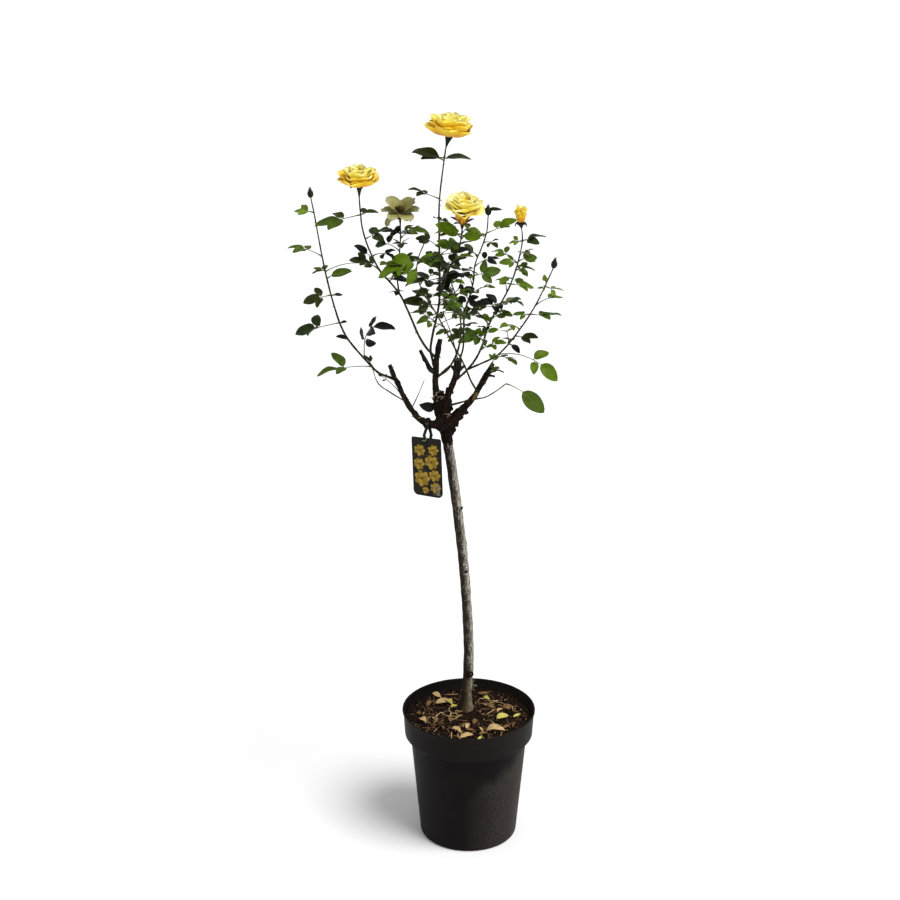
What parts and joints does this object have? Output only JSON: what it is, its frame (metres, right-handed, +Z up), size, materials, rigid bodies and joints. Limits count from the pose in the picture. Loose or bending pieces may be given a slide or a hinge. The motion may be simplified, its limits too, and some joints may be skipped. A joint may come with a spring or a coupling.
{
  "type": "potted standard rose",
  "caption": "Standard rose with a grafted head of yellow blooms on a bare stem, standing in a round nursery pot, with a hanging plant label.",
  "frame": {"origin": "centre of the pot's flat underside", "axes": "+Z up along the stem; -Y is the side the label's face and the fullest blooms look to; +X to the right from there"},
  "size_m": [0.4664, 0.323, 1.3138],
  "materials": {
    "pot": "satin black nursery-pot plastic, dusty low down on one side",
    "soil": "dark brown moist compost with bark crumbs",
    "trunk_bark": "grey-brown stem bark with fine lengthwise cracks and pale specks",
    "union_bark": "dark red-brown rough callus",
    "cane_bark": "dark brown-black old cane bark",
    "green_shoots": "smooth olive-green to reddish young stems",
    "foliage": "semi-gloss green rose leaves",
    "petals": "soft clear yellow petals, paler at the edges",
    "faded_petals": "faded olive-cream petals",
    "green_buds": "green calyx",
    "label_card": "thin printed plastic card",
    "label_strap": "dark green plastic strap"
  },
  "bodies": {
    "plant": {"back_shoot": "green_shoots", "back_shoot_leaves_1": "foliage", "back_shoot_leaves_2": "foliage", "bud_shoot": "green_shoots", "bud_shoot_leaves_1": "foliage", "bud_shoot_leaves_2": "foliage", "bud_shoot_leaves_3": "foliage", "centre_cane": "cane_bark", "crossing_shoot": "green_shoots", "crossing_shoot_leaves_1": "foliage", "faded_bloom": "faded_petals", "faded_bloom_shoot": "green_shoots", "faded_bloom_shoot_leaves_1": "foliage", "graft_union": "union_bark", "left_bloom": "petals", "left_bloom_shoot": "green_shoots", "left_bloom_shoot_leaves_1": "foliage", "left_bloom_shoot_leaves_2": "foliage", "left_bud": "green_buds", "left_cane": "cane_bark", "left_shoot": "green_shoots", "left_shoot_leaves_1": "foliage", "left_shoot_leaves_2": "foliage", "left_shoot_leaves_3": "foliage", "left_shoot_leaves_4": "foliage", "left_shoot_leaves_5": "foliage", "left_shoot_leaves_6": "foliage", "left_shoot_leaves_7": "foliage", "low_twig": "green_shoots", "low_twig_leaves_1": "foliage", "mid_cane": "cane_bark", "opening_bud": "petals", "pot": "pot", "pruned_stub": "cane_bark", "right_bloom": "petals", "right_bloom_shoot": "green_shoots", "right_bloom_shoot_leaves_1": "foliage", "right_bud": "green_buds", "right_cane": "cane_bark", "right_shoot": "green_shoots", "right_shoot_leaves_1": "foliage", "right_shoot_leaves_2": "foliage", "right_shoot_leaves_3": "foliage", "right_shoot_leaves_4": "foliage", "soil": "soil", "tall_shoot": "green_shoots", "tall_shoot_leaves_1": "foliage", "tall_shoot_leaves_2": "foliage", "tall_shoot_leaves_3": "foliage", "tall_shoot_leaves_4": "foliage", "top_bloom": "petals", "top_shoot": "green_shoots", "top_shoot_leaves_1": "foliage", "top_shoot_leaves_2": "foliage", "top_shoot_leaves_3": "foliage", "top_shoot_leaves_4": "foliage", "top_shoot_leaves_5": "foliage", "trunk": "trunk_bark"},
    "label": {"label_card": "label_card", "label_strap": "label_strap"}
  },
  "joints": [
    {"name": "label_swing", "type": "hinge", "parent": "plant", "child": "label", "pos_m": [-0.072, -0.0101, 0.792], "axis": [1, 0, 0], "range_deg": [-30, 15]}
  ]
}
